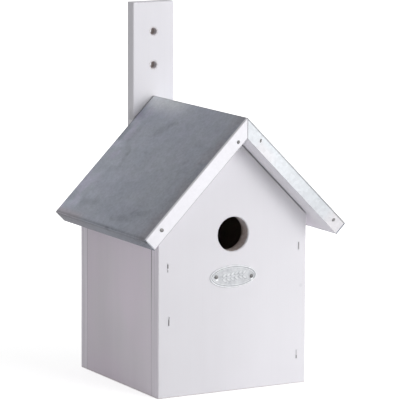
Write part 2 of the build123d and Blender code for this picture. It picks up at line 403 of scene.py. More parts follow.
def painted_wood(name, along, paint, bare=None, crack=None, deep_shade=None, worn_mouth=None):
    """White paint over grain along one axis, darker towards bare wood in its lowest millimetre.

    bare says where the wood has no paint, crack where a joint is, and worn_mouth how the wall of a bore
    rises behind its rounded mouth, from 0 to 1. The argument after crack says where that bare wood is
    painted darker, as shade deep in a bore.
    """
    graph = Graph(name)
    grain = graph.noise(features(along, 900.0, 16.0), detail=4.0, roughness=0.6)
    figure = graph.noise(features(along, 90.0, 5.0), detail=3.0)
    cloud = graph.noise((14.0, 14.0, 14.0), detail=2.0)
    speck = graph.noise((2600.0, 2600.0, 2600.0), detail=1.0)
    tone = 0.96 + 0.06 * cloud + 0.03 * figure - 0.015 * graph.rise(grain, 0.56, 0.72)
    coat = graph.shade(paint(graph, cloud), tone)
    wood_tone = 0.7 + 0.35 * figure + 0.25 * grain
    wood_colour = bare_wood if deep_shade is None else graph.mix(deep_shade(graph), bare_wood, deep_shade_wood)
    wood = graph.shade(wood_colour, wood_tone)
    inside = (
        graph.fall(abs(graph.x), side_inner, side_inner + hair)
        * graph.rise(graph.y, front_inner - hair, front_inner)
        * graph.fall(graph.y, back_inner, back_inner + hair)
    )
    if bare is not None:
        inside = graph.larger(inside, bare(graph))
    # The lowest millimetre is darker, towards bare wood.
    foot = graph.fall(graph.z + 0.8 * mm * (grain - 0.5), 0.3 * mm, 1.3 * mm) * 0.35
    bare_share = graph.larger(inside, foot)
    colour = graph.mix(bare_share, coat, wood)
    if crack is not None:
        colour = graph.mix(crack(graph), colour, joint_dirt)
    normal = graph.bump(0.4 * grain + 0.35 * figure + 0.1 * speck, grain_lift, 0.4)
    if worn_mouth is not None:
        normal = graph.node("Bump", {}, Distance=mouth_depth, Height=worn_mouth(graph), Normal=normal)
    return graph.finish(
        {"Specular IOR Level": 0.35},
        {"Base Color": colour, "Roughness": 0.52 + 0.1 * figure + 0.2 * bare_share, "Normal": normal},
    )


# %% [markdown]
# One coat is thin, so the wood below warms it: the side boards have a faint pink cast that comes and
# goes along them, and the front is a cool white. Some tones are painted light and shade: the front is
# lighter to the right and at the top and darker at its upper left, the sides are lighter towards the
# front, the batten and the roof boards are lighter than the walls, and there is painted shade under
# the gable's right edge and on the batten just above the roof. The sides are darker low down in their
# middle. Where two boards meet on a side, the joint has kept a hairline of dirt, darker at the top.

# %% Whites and places
cool_white = (0.80, 0.788, 0.828)
# Lighter than the faces' white, for the end grain in the side's shade: painted light.
edge_white = (0.912, 0.868, 0.94)
# Lighter than the front's white, for the batten and the roof boards: painted light.
painted_light_white = (0.838, 0.826, 0.868)
pink_white = (0.845, 0.80, 0.862)
pinker_white = (0.858, 0.785, 0.872)
# Where the front has a faint dark mark.
faint_mark_place = (72.1 * mm, front_face, 92.2 * mm)
print("front white", cool_white, "batten white", painted_light_white)


# %% Paint and dirt
def painted_roof_shade(graph):
    """Painted shade under the roof: darkest along the gable's right edge, and most near its top.

    below is the distance under the gable's slanted edge, (top - z - |x|) / sqrt 2.
    """
    below = (gable_top - graph.z - abs(graph.x)) * half_root
    high_up = 0.3 + 0.7 * graph.fall(graph.x, 30 * mm, 62 * mm)
    broad = 0.16 * high_up * graph.fall(below, 1.0 * mm, 10.0 * mm)
    narrow = (0.08 + 0.12 * high_up) * graph.fall(below, 0.0, 2.0 * mm)
    return graph.rise(graph.x, -12 * mm, 6 * mm) * (broad + narrow)


def painted_light_board_white(graph, cloud):
    """The batten and the roof boards: a lighter white than the walls, lighter still low down: painted
    light.
    """
    return graph.shade(painted_light_white, 1.0 + 0.035 * graph.fall(graph.z, 250 * mm, 330 * mm))


def batten_white(graph, cloud):
    """The batten's coat, with a band of painted shade on its front just above the roof's left slope.

    above is the height over the roof's sloping rear edge, z - (top - |x|).
    """
    above = graph.z - (roof_top - abs(graph.x))
    # Painted shade on the batten's front, just above the roof's left slope.
    painted_shade_above_roof = graph.rise(above, -2.0 * mm, 0.0) * graph.fall(above, 1.0 * mm, 13.0 * mm)
    front_part = graph.fall(graph.y, batten_front + 6.0 * mm, batten_front + 11.0 * mm)
    left_part = graph.fall(graph.x, -15.0 * mm, 0.0)
    return graph.shade(painted_light_board_white(graph, cloud), 1.0 - 0.25 * painted_shade_above_roof * front_part * left_part)


def end_grain_white(graph, cloud):
    """The front and back boards: cool white, painted lighter to the right, at the top and low on the
    right, and darker at the upper left, as painted light and shade.

    Their narrow edges are end grain, which drinks the paint unevenly, in a white painted lighter than
    the faces', as painted light. A faint dark mark is on the front.
    """
    edge = graph.rise(abs(graph.x), side_outer - 0.4 * mm, side_outer - 0.1 * mm)
    streak = graph.noise((40.0, 560.0, 7.0), detail=3.0)
    white = graph.mix(edge, cool_white, edge_white)
    faint_mark = graph.fall(graph.distance(faint_mark_place), 0.6 * mm, 2.6 * mm)
    # Painted light: lighter to the right, at the top and low on the right.
    painted_light_gradient = (
        0.045 * graph.rise(graph.x, -60 * mm, 75 * mm)
        + 0.05 * graph.rise(graph.z, 185 * mm, 225 * mm)
        + 0.025 * graph.rise(graph.x, -30 * mm, 40 * mm) * graph.fall(graph.z, 40 * mm, 110 * mm)
    )
    # Painted shade at the upper left, under the left side of the roof.
    painted_upper_left_shade = 0.035 * graph.rise(graph.z, 105 * mm, 150 * mm) * graph.fall(graph.x, -25 * mm, 20 * mm)
    # A faint dark mark, and the painted shade under the roof's edge.
    dirt = 0.08 * faint_mark + painted_roof_shade(graph)
    return graph.shade(white, 0.985 + painted_light_gradient - painted_upper_left_shade - dirt + edge * (0.66 * streak - 0.30))


def warm_white(graph, cloud):
    """The side boards: a white that the wood below turns faintly pink, lighter towards the front as
    painted light, and darker low down in the middle.
    """
    patchy = graph.mix(graph.rise(cloud, 0.3, 0.62), pink_white, pinker_white)
    # Painted light: the side is lighter towards the front.
    painted_front_light = graph.fall(graph.y, -20 * mm, 62 * mm)
    brushed = graph.noise((40.0, 75.0, 9.0), detail=3.0)
    middle = graph.rise(graph.y, -70 * mm, -20 * mm) * graph.fall(graph.y, 25 * mm, 65 * mm)
    darker_low_middle = 0.055 * middle * graph.fall(graph.z, 30 * mm, 85 * mm)
    return graph.shade(patchy, 0.965 + 0.11 * painted_front_light + 0.06 * brushed - darker_low_middle)


def side_joints(graph):
    """Both upright joint lines of a side board: the front one wider, and darker under the eave."""
    front_line = graph.fall(graph.y, front_inner + 0.75 * mm, front_inner + 1.0 * mm)
    fading = 0.3 + 0.7 * graph.rise(graph.z, 60 * mm, 150 * mm)
    rear_line = graph.rise(graph.y, back_inner - 0.6 * mm, back_inner - 0.35 * mm)
    return graph.larger(front_line * fading, 0.6 * rear_line)


# %% [markdown]
# The entrance was drilled after painting and brushed again, so the paint smears into its bore and the
# wood of the bore is grey rather than yellow. The two hanging holes have paint in their mouths and are
# bare and brown half way in, with a thin rubbed ring round each. Deeper in, all three bores are painted
# darker and browner, as painted shade. All three have worn mouths: the edge is no longer sharp, so it
# catches the light. The solids have sharp edges there, because a bore has to keep its true radius, so
# the roundness is bump: the wall rises over its first millimetres.

# %% Bare places
def bare_entrance(graph):
    """The bore of the entrance, with paint that ends unevenly a little inside its rim."""
    edge = graph.noise((260.0, 260.0, 260.0), detail=3.0)
    within = graph.rise(graph.y + 4.0 * mm * (edge - 0.5), front_face + 0.5 * mm, front_face + 3.0 * mm)
    upper_part = graph.rise(graph.z, entrance.z + 3 * mm, entrance.z + 13 * mm)
    smear = 0.75 + 0.25 * graph.rise(edge, 0.4, 0.6) - 0.35 * upper_part
    return ring(graph, entrance, entrance_radius + 0.2 * mm, hair) * within * smear


def painted_bore_shade(graph):
    """Painted shade in the entrance's bore: it gets browner and darker on its way in."""
    return 0.35 * graph.rise(graph.y, front_face + 8.0 * mm, front_face + 14.0 * mm)


def painted_hole_shade(graph):
    """Painted shade in the hanging holes: darker and browner in the middle of their depth."""
    into = graph.y - batten_front
    return 0.18 * graph.rise(into, 3.5 * mm, 6.0 * mm) * graph.fall(into, 8.0 * mm, 11.0 * mm)


def both_holes(graph, radius, soft):
    """1 within a radius of either hanging hole's axis, and 0 outside it."""
    upper, lower = hanging_holes
    return graph.larger(ring(graph, upper, radius, soft), ring(graph, lower, radius, soft))


def bare_hanging_holes(graph):
    """The bores of the hanging holes, barest half way in, and a rubbed ring round each."""
    edge = graph.noise((700.0, 700.0, 700.0), detail=2.0)
    bores = both_holes(graph, hole_radius + 0.15 * mm, hair)
    rubbed = both_holes(graph, hole_radius + 0.3 * mm, 2.0 * mm)
    into = graph.y - batten_front
    deep = graph.rise(into, 3.0 * mm, 6.5 * mm) * graph.fall(into, 9.0 * mm, 12.0 * mm)
    return graph.larger(bores * (0.02 + 0.85 * deep), 0.4 * rubbed * graph.rise(edge, 0.3, 0.6))


def worn_hanging_holes(graph):
    """The wall of each hanging hole rises over the first millimetres of its bore."""
    within = both_holes(graph, hole_radius + 0.15 * mm, hair)
    return within * graph.rise(graph.y, batten_front - 0.5 * mm, batten_front + 3.8 * mm)


def worn_entrance(graph):
    """The entrance's edge was sanded round: its wall rises over the first two millimetres."""
    within = ring(graph, entrance, entrance_radius + 0.2 * mm, hair)
    return within * graph.rise(graph.y, front_face - 0.5 * mm, front_face + 2.0 * mm)


def bare_all_over(graph):
    """A board that was never painted, at any height."""
    return graph.rise(graph.z, -1.0, -0.5)


# %% Boards
front_paint = painted_wood(
    "front_paint", "Z", end_grain_white, bare_entrance, deep_shade=painted_bore_shade, worn_mouth=worn_entrance
)
dress(front_paint, "front_wall")
dress(painted_wood("back_paint", "Z", end_grain_white), "back_wall")
side_paint = painted_wood("side_paint", "Z", warm_white, crack=side_joints)
dress(side_paint, "left_side_wall", "right_side_wall")
batten_paint = painted_wood(
    "batten_paint",
    "Z",
    batten_white,
    bare_hanging_holes,
    deep_shade=painted_hole_shade,
    worn_mouth=worn_hanging_holes,
)
dress(batten_paint, "hanging_batten")
roof_board_paint = painted_wood("roof_board_paint", "Y", painted_light_board_white)
dress(roof_board_paint, "left_roof_board", "right_roof_board")
dress(painted_wood("floor_wood", "X", painted_light_board_white, bare_all_over), "floor_board")

# %% [markdown]
# The roof is one sheet of zinc. Its outside is a dull blue-grey with clouds of patina, darker along
# the front, and paler towards the back and near the ridge's rear: the rise towards the back is painted
# sheen, and the pale patch by the ridge is partly pale patina and partly painted sheen. It could be
# one noise texture, but then it would look the same everywhere. Here all of it comes from the place on
# the roof: the run down the slope from the ridge, the depth below the sheet, and the way back from
# the front flange.

# %% Places on the roof
roof_board_thickness = 13 * mm
roof_board_length = 146.6 * mm
soffit_at_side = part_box("right_side_wall")[1].z
ridge = soffit_at_side + side_inner + roof_board_thickness * math.sqrt(2)
front_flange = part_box("zinc_roof_cover")[0].y
back_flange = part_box("zinc_roof_cover")[1].y
sheet_length = back_flange - front_flange
print("ridge at", round(ridge, 4), "zinc from", round(front_flange, 4), "to", round(back_flange, 4))

graph = Graph("zinc_patina")
below = ridge - graph.z
run = (below + abs(graph.x)) * half_root
depth = (below - abs(graph.x)) * half_root
back = graph.y - front_flange
warp = graph.noise((26.0, 26.0, 26.0), detail=3.0)
warp_too = graph.noise((31.0, 31.0, 23.0), detail=3.0)
bent_run = run + 16 * mm * (warp - 0.5)
bent_back = back + 20 * mm * (warp_too - 0.5)
graph.report()


# %% [markdown]
# A few marks are too definite for noise: a dark smear near the ridge, the trace of an old crease
# towards the back, scuffs near the eave, and painted shade on the slope's rear corner by the batten.
# Each is a stroke: a short line on the sheet with soft sides, slightly bent by noise, so that it
# doesn't look ruled. The pale ones are patches that rain has washed, and the two that are taken away
# from them are duller places.

# %% Strokes on the sheet
def stroke(start, end, width):
    """1 on the line between two places (run, back) in millimetres, fading to 0 a width away.

    u is the place's distance along the line from its middle, and v is its distance across it. What
    counts is max(|u| - half length, 0) + |v|.
    """
    ahead = np.array(end) - np.array(start)
    length = float(np.hypot(*ahead))
    cos_lean, sin_lean = (float(v) for v in ahead / length)
    middle = [float(v) * mm for v in (np.array(start) + np.array(end)) / 2]
    off_run = bent_run - middle[0]
    off_back = bent_back - middle[1]
    along = abs(off_run * cos_lean + off_back * sin_lean)
    across = abs(off_back * cos_lean - off_run * sin_lean)
    past_end = graph.larger(along - length / 2 * mm, 0.0)
    return graph.fall(past_end + across, 0.15 * width * mm, width * mm)


# %% Dark marks
left_slope = graph.fall(graph.x, -2 * mm, -1 * mm)
smear = (
    0.8 * stroke((24, 102), (27, 111), 5)
    + stroke((28, 113), (36, 124), 11)
    + 0.6 * stroke((34, 121), (42, 130), 8)
)
crease = (
    0.9 * stroke((28, 158), (52, 160), 6)
    + stroke((54, 160), (68, 143), 6)
    + stroke((68, 143), (86, 138), 6)
)
scuffs = (
    stroke((117, 28), (122, 56), 7)
    + 0.8 * stroke((130, 56), (133, 80), 6)
    + 1.2 * stroke((124, 128), (131, 150), 7)
    + 0.8 * stroke((112, 80), (114, 92), 3)
    + 0.7 * stroke((108, 95), (110, 101), 3)
)
dents = (
    stroke((59, 36), (61, 39), 4)
    + 0.6 * stroke((70, 26), (70, 34), 7)
    + 0.8 * stroke((60, 108), (60, 113), 2.5)
)
# Painted shade where the slope meets the batten.
rear_corner_shade = stroke((38, 175), (54, 177), 6)
dark_marks_and_shade = left_slope * (
    0.15 * smear + 0.14 * crease + 0.11 * scuffs + 0.14 * dents + 0.25 * rear_corner_shade
)
graph.report()

# %% Pale marks
pale_marks = left_slope * (
    0.15 * stroke((118, 140), (122, 150), 9)
    + 0.14 * stroke((132, 158), (136, 174), 9)
    + 0.14 * stroke((56, 162), (62, 173), 8)
    + 0.10 * stroke((78, 144), (82, 156), 8)
    + 0.10 * stroke((96, 162), (108, 174), 10)
    + 0.07 * stroke((138, 34), (140, 110), 6)
    + 0.11 * stroke((94, 130), (95, 142), 15)
    + 0.07 * stroke((112, 158), (116, 172), 14)
    + 0.09 * stroke((135, 158), (139, 176), 10)
    + 0.05 * stroke((112, 70), (116, 86), 14)
    + 0.05 * stroke((136, 8), (138, 20), 10)
    - 0.06 * stroke((32, 140), (50, 168), 14)
    - 0.04 * stroke((58, 96), (76, 104), 14)
)
graph.report()

# %% [markdown]
# The patina is a sum: clouds a few centimetres across, mottle, grit, and bands along the sheet, of
# which the rise towards the back is painted sheen and the pale patch by the ridge partly so. The tone
# is that sum, and the colour goes from blue-grey through violet in blotches to brown along the front
# and at the rear corner of the eave, and to a plain pale grey near the ridge.

# %% Zinc greys
blue_grey = (0.345, 0.367, 0.428)
pale_blue_grey = (0.362, 0.383, 0.432)
violet_grey = (0.398, 0.396, 0.478)
brown_grey = (0.385, 0.365, 0.40)
ridge_grey = (0.405, 0.42, 0.43)
eave_blue_grey = (0.346, 0.365, 0.426)
eave_brown_grey = (0.368, 0.365, 0.420)
# The front flanges' near-white colours are a painted reflection of the lamps.
left_flange_reflection = (0.767, 0.76, 0.80)
right_flange_reflection = (0.855, 0.885, 0.925)
warm_right_flange_reflection = (0.885, 0.87, 0.90)
print("zinc from", blue_grey, "to", ridge_grey)

# %% Patina
clouds = graph.noise((30.0, 17.0, 30.0), detail=5.0, roughness=0.6)
mottle = graph.noise((150.0, 100.0, 150.0), detail=4.0, roughness=0.7)
grit = graph.noise((420.0, 300.0, 420.0), detail=3.0, roughness=0.6)
streaks = graph.noise((60.0, 420.0, 60.0), detail=3.0)
# Painted sheen: the sheet is painted lighter towards the back.
painted_sheen_to_back = graph.rise(back, 0.0, 190 * mm)
front_band = graph.rise(back, 1.0 * mm, 4.5 * mm) * graph.fall(back, 5 * mm, 26 * mm)
rear_band = graph.rise(bent_back, 148 * mm, 172 * mm)
# Pale patina near the ridge's rear, with painted sheen.
pale_patch_and_sheen = graph.fall(bent_run, 4 * mm, 22 * mm) * (0.12 + 0.88 * graph.rise(bent_back, 84 * mm, 140 * mm))
tone = (
    1.00
    + 0.28 * painted_sheen_to_back
    - 0.17 * front_band
    + 0.03 * rear_band
    + 0.42 * pale_patch_and_sheen
    + 0.34 * (clouds - 0.5)
    + 0.50 * (mottle - 0.5)
    + 0.46 * (grit - 0.5)
    + 0.10 * (streaks - 0.5)
    - dark_marks_and_shade
    + pale_marks
)
blue_part = graph.mix(graph.rise(clouds, 0.35, 0.65), blue_grey, pale_blue_grey)
blotch = graph.noise((75.0, 60.0, 75.0), detail=2.0)
violet_share = graph.rise(blotch, 0.46, 0.6) * (0.2 + 0.7 * rear_band)
with_violet = graph.mix(violet_share, blue_part, violet_grey)
brown_eave = graph.rise(run, 138 * mm, 144 * mm) * graph.rise(bent_back, 120 * mm, 145 * mm)
brown_share = graph.larger(0.6 * front_band * graph.rise(warp_too, 0.35, 0.55), 0.85 * brown_eave)
with_brown = graph.mix(brown_share, with_violet, brown_grey)
with_ridge = graph.mix(0.9 * pale_patch_and_sheen, with_brown, ridge_grey)
slope_patina = graph.shade(with_ridge, tone + 0.05 * brown_eave * rear_band)
graph.report()

# %% [markdown]
# The eave flanges are a darker, more even grey than the slopes. Their tone is painted lighter and
# darker from front to back, darker just below the fold and lighter low down, as painted light and
# shade. They are roughest at the front corner, where the sheet was cut and tapped round. They get
# their own tone.

# %% Eave flanges
past_slope = graph.rise(run, roof_board_length - 0.2 * mm, roof_board_length + 0.3 * mm)
eave_flange = past_slope * graph.rise(depth, -0.1 * mm, 0.5 * mm)
# Painted light and shade along the flange, with mottle and grit.
flange_tone_and_shade = (
    0.69
    + 0.06 * graph.rise(back, 15 * mm, 45 * mm)
    - 0.03 * graph.rise(back, 85 * mm, 110 * mm)
    - 0.09 * graph.rise(back, 135 * mm, 175 * mm)
    + 0.4 * (mottle - 0.5)
    + (0.35 + 1.5 * graph.fall(back, 8 * mm, 36 * mm)) * (grit - 0.5)
    - 0.3 * graph.fall(back, 3 * mm, 8 * mm) * graph.fall(depth, 2 * mm, 4.5 * mm)
    - 0.16 * graph.fall(depth, 1.6 * mm, 4.6 * mm)
    + 0.06 * graph.rise(depth, 6 * mm, 11 * mm)
)
flange_grey = graph.mix(graph.rise(bent_back, 90 * mm, 150 * mm), eave_blue_grey, eave_brown_grey)
patina = graph.mix(eave_flange, slope_patina, graph.shade(flange_grey, flange_tone_and_shade))
graph.report()

# %% [markdown]
# Where the sheet is folded, and along its rear edge, it is painted darker, as shade. The front flanges
# are almost white, a painted reflection of the lamps, with faint crystals, blue and duller on the
# right, where the light reaches them from behind the bend, and painted lighter down the left. A grey
# line of painted shade follows the right bend, a dull line runs along the left flange's lower edge,
# and the two flanges meet under the ridge in a dark seam.

# %% Folds
kink_place = 76 * mm
slope_end = graph.rise(run, roof_board_length - 3.2 * mm, roof_board_length - 0.8 * mm)
slope_fold = slope_end * graph.fall(depth, 0.0, 0.6 * mm)
near_kink = graph.fall(abs(back - kink_place), 1.5 * mm, 5.0 * mm)
over_eave = graph.rise(run, roof_board_length - 2.5 * mm, roof_board_length - 0.5 * mm)
kink = near_kink * over_eave * graph.fall(depth, 2.5 * mm, 5.5 * mm)
ridge_fold = graph.fall(run, 0.4 * mm, 1.8 * mm)
rear_fold = graph.rise(back, sheet_length - 1.8 * mm, sheet_length - 0.6 * mm)
near_rear = graph.rise(back, sheet_length - 4.0 * mm, sheet_length - 1.8 * mm)
rear_bend = near_rear * graph.fall(bent_run, 44 * mm, 60 * mm)
# Painted shade along the folds, the kink and the rear edge.
painted_fold_shade = 1.0 - 0.24 * slope_fold - 0.2 * kink - 0.14 * ridge_fold - 0.38 * rear_fold - 0.35 * rear_bend
graph.report()

# %% Bright flanges
right_side = graph.rise(graph.x, -1.0 * mm, 1.0 * mm)
left_side = 1.0 - right_side
front_face_mask = graph.fall(graph.y, front_flange + 1.1 * mm, front_flange + 2.8 * mm)
before_end = graph.fall(run, roof_board_length - 1.0 * mm, roof_board_length - 0.3 * mm)
bright = front_face_mask * before_end
spangle = graph.node("TexVoronoi", {}, graph.stretch((400.0, 400.0, 400.0)), Scale=1.0)
crystal = graph.node("SeparateColor", {}, spangle.output("Color")).output("Red")
lower_edge_line = graph.rise(depth, roof_board_thickness - 0.7 * mm, roof_board_thickness - 0.3 * mm)
bend_line = graph.fall(depth, 0.8 * mm, 1.4 * mm)
seam = graph.fall(abs(graph.x), 0.15 * mm, 0.55 * mm)
# Painted light and shade on the right flange down the slope and along the bend, with crystals and
# mottle.
dulled_and_shaded = (
    0.175
    - 0.04 * graph.rise(run, 14 * mm, 34 * mm)
    + 0.13 * graph.rise(run, 40 * mm, 125 * mm)
    - 0.04 * graph.rise(run, 124 * mm, 134 * mm)
    + 0.05 * crystal
    + 0.12 * (mottle - 0.5)
    + 0.38 * bend_line
)
# The left flange is painted lighter down the slope, and has a dull line along its lower edge.
bright_tone = (
    1.0
    - 0.03 * crystal
    + 0.08 * (mottle - 0.5)
    - right_side * dulled_and_shaded
    + left_side * 0.06 * graph.rise(run, 18 * mm, 85 * mm)
    - left_side * 0.5 * lower_edge_line
    - 0.35 * seam
)
warm_parts = graph.larger(
    graph.rise(run, 122 * mm, 134 * mm),
    0.7 * graph.fall(abs(bent_run - 36 * mm), 4 * mm, 18 * mm) * graph.rise(depth, 3 * mm, 9 * mm),
)
right_grey = graph.mix(warm_parts, right_flange_reflection, warm_right_flange_reflection)
flange_reflection = graph.mix(right_side, left_flange_reflection, right_grey)
colour = graph.mix(bright, graph.shade(patina, painted_fold_shade), graph.shade(flange_reflection, bright_tone))
graph.report()

# %% Zinc
scratches = graph.noise((1500.0, 90.0, 1500.0), detail=2.0)
height = 0.5 * mottle + 0.3 * clouds + 0.2 * scratches
zinc = graph.finish(
    {},
    {
        "Base Color": colour,
        "Metallic": 0.75 - 0.4 * bright,
        "Roughness": 0.46 + 0.22 * (clouds - 0.5) + 0.1 * mottle,
        "Normal": graph.bump(height, 0.08 * mm, 0.35),
    },
)
dress(zinc, "zinc_roof_cover")

# %% [markdown]
# Nails, staples and screws are small, but they are what says that this box was made by hand. Each is
# a closed skin: rings of points that start at a pole, run along the piece and end at a pole. A
# primitive cylinder would be quicker and would look like one. The first and the last ring are drawn
# together to a point, and the sign of the volume tells whether the faces look out.

# %% Closed skins
crease_angle = math.radians(50)
print("edges sharper than", round(math.degrees(crease_angle)), "degrees stay sharp")


def closed_skin(name, rings, material, slot, *stands_for):
    """A closed surface through rings of points, an array of rings x points x 3.

    The first and the last ring each shrink to their mean point, a pole. Between two rings every four
    neighbours make a quad, and each pole is joined to its ring by triangles. The sign of the volume,
    the sum of the triple products of the corners over 6, says whether the faces look out.
    """
    rings = np.asarray(rings, float)
    body = rings[1:-1]
    count, around = body.shape[:2]
    points = np.concatenate([rings[:1].mean(1), body.reshape(-1, 3), rings[-1:].mean(1)])
    here = np.arange(around)
    after = (here + 1) % around
    start = 1 + around * np.arange(count - 1)[:, None]
    quads = np.stack([start + here, start + after, start + around + after, start + around + here], -1)
    quads = quads.reshape(-1, 4)
    last = 1 + around * (count - 1)
    first_fan = np.stack([np.zeros(around, int), after + 1, here + 1], -1)
    last_fan = np.stack([np.full(around, len(points) - 1), last + here, last + after], -1)
    triangles = np.concatenate([quads[:, [0, 1, 2]], quads[:, [0, 2, 3]], first_fan, last_fan])
    corners = points[triangles]
    volume = np.einsum("ij,ij->i", corners[:, 0], np.cross(corners[:, 1], corners[:, 2])).sum() / 6
    faces = quads.tolist() + first_fan.tolist() + last_fan.tolist()
    if volume < 0:
        faces = [face[::-1] for face in faces]
    mesh = bpy.data.meshes.new(name)
    mesh.from_pydata(points.tolist(), [], faces)
    mesh.shade_smooth()
    mesh.set_sharp_from_angle(angle=crease_angle)
    mesh.materials.append(material)
    piece = bpy.data.objects.new(name, mesh)
    bpy.context.scene.collection.objects.link(piece)
    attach(piece, "root")
    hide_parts(*stands_for)
    print(name, len(triangles), "triangles,", round(abs(volume) * 1e9, 2), "mm3")
    return piece


# %% Turned forms
def turned(profile, around, origin, facing):
    """A profile of (radius, reach) turned round an axis along Y through origin.

    A point is origin + radius * (cos t, 0, sin t) + reach * (0, facing, 0), with t round the circle.
    """
    angle = np.linspace(0, 2 * np.pi, around, endpoint=False)
    radius, reach = np.asarray(profile, float).T
    x = origin[0] + radius[:, None] * np.cos(angle)
    y = origin[1] + facing * np.repeat(reach[:, None], around, 1)
    z = origin[2] + radius[:, None] * np.sin(angle)
    return np.stack([x, y, z], -1)


# %% Steel
dark_steel = (0.16, 0.158, 0.16)
worn_steel = (0.27, 0.265, 0.26)
graph = Graph("nail_steel")
tarnish = graph.noise((1800.0, 1800.0, 1800.0), detail=3.0)
patches = graph.noise((500.0, 500.0, 500.0), detail=2.0)
steel = graph.finish(
    {},
    {
        "Base Color": graph.mix(graph.rise(patches, 0.4, 0.7), dark_steel, worn_steel),
        "Metallic": 0.9 - 0.3 * patches,
        "Roughness": 0.36 + 0.2 * tarnish,
        "Normal": graph.bump(tarnish, 0.05 * mm, 0.5),
    },
)

# %% [markdown]
# A round nail's head is a low dome with a rolled edge. Its profile is a quarter of an ellipse from the
# crown to the edge, a short edge, the flat underside and the shank with its point.

# %% Round nails
head_height = 0.7 * mm
shank_radius = 0.8 * mm
point_length = 1.5 * mm
shank_rings = 3
nail_around = 28
print("nail heads", round(head_height / mm, 2), "mm high")


def nail_profile(head_radius, length):
    """Radius and reach of a nail, from the crown to the point.

    The dome's radius is sin t and its height edge + (1 - edge) cos t, for t from 0 to 90 degrees.
    """
    edge = 0.3
    t = np.linspace(0, np.pi / 2, 9)
    dome = np.stack([head_radius * np.sin(t), head_height * (edge + (1 - edge) * np.cos(t))], 1)
    rest = [
        (0.98 * head_radius, 0.1 * head_height),
        (0.94 * head_radius, 0),
        (shank_radius, 0),
        (shank_radius, point_length - length),
        (0, -length),
    ]
    return np.concatenate([dome, rest])


# %% [markdown]
# No two hand-driven nails look alike. Some heads were hammered wide, and one went in at a slant, so
# that half of it is sunk in the sheet. Each head is stretched a little along its own direction: a
# nail has a width and a height as shares of a round head's, and the degrees that it leans.

# %% Nail heads
head_shapes = {
    "front_verge_nail_left_upper": (0.85, 1.1, -25),
    "front_verge_nail_left_lower": (1.3, 1.05, -15),
    "front_verge_nail_right_upper": (0.5, 1.15, -18),
    "front_verge_nail_right_lower": (1.12, 0.78, 35),
    "plate_nail_left": (1.15, 1.1, 10),
    "plate_nail_right": (0.95, 1.2, -30),
}
print("stretched heads:", len(head_shapes))


def stretched(rings, origin, wide, tall, lean):
    """Rings with their x and z scaled by wide and tall, in a frame that leans by some degrees."""
    cos_lean, sin_lean = math.cos(math.radians(lean)), math.sin(math.radians(lean))
    x = rings[..., 0] - origin[0]
    z = rings[..., 2] - origin[2]
    along = wide * (x * cos_lean + z * sin_lean)
    across = tall * (z * cos_lean - x * sin_lean)
    new_x = origin[0] + along * cos_lean - across * sin_lean
    new_z = origin[2] + along * sin_lean + across * cos_lean
    return np.stack([new_x, rings[..., 1], new_z], -1)


for name in sorted(name for name in frame["nodes"] if "_nail_" in name):
    low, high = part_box(name)
    facing = 1 if name.startswith("rear") else -1
    reach = high.y if facing > 0 else -low.y
    origin = ((low.x + high.x) / 2, facing * (reach - head_height), (low.z + high.z) / 2)
    profile = nail_profile((high.x - low.x) / 2, high.y - low.y - head_height)
    rings = turned(profile, nail_around, origin, facing)
    head_rings = len(profile) - shank_rings
    rings[:head_rings] = stretched(rings[:head_rings], origin, *head_shapes.get(name, (1.0, 1.0, 0)))
    closed_skin(name + "_round", rings, steel, "nail_steel", name)

# %% [markdown]
# A staple is flat wire bent twice. Driven home, only its crown shows, almost flush and half hidden by
# paint. The wire's rounded section is carried along a path: up one leg, round the bend, along the
# crown and down the other leg. Where the paint has come off is written into each point as a number,
# so that every staple can be bare in its own places while all share one material.

# %% Staple wire
bare_wire = (0.20, 0.195, 0.20)
graph = Graph("staple_wire")
flaked = graph.noise((1400.0, 1400.0, 500.0), detail=3.0)
scraped = graph.node("Attribute", {"attribute_name": "scraped"}).output("Fac") * (0.75 + 0.5 * flaked)
wire = graph.finish(
    {},
    {
        "Base Color": graph.mix(scraped, cool_white, bare_wire),
        "Metallic": 0.6 * scraped,
        "Roughness": 0.45 + 0.2 * flaked,
        "Normal": graph.bump(flaked, 0.05 * mm, 0.5),
    },
)


# %% Staple's shape
wire_thickness = 0.7 * mm
bend = 0.25 * mm
bend_points = 6
crown_points = 22
wire_around = 12
print("wire", round(wire_thickness / mm, 2), "mm thick, bent round", round(bend / mm, 2), "mm")


def squarish(wave):
    """A sine or cosine's sign times the root of its size, which makes a round section squarish."""
    return np.sign(wave) * np.abs(wave) ** 0.5


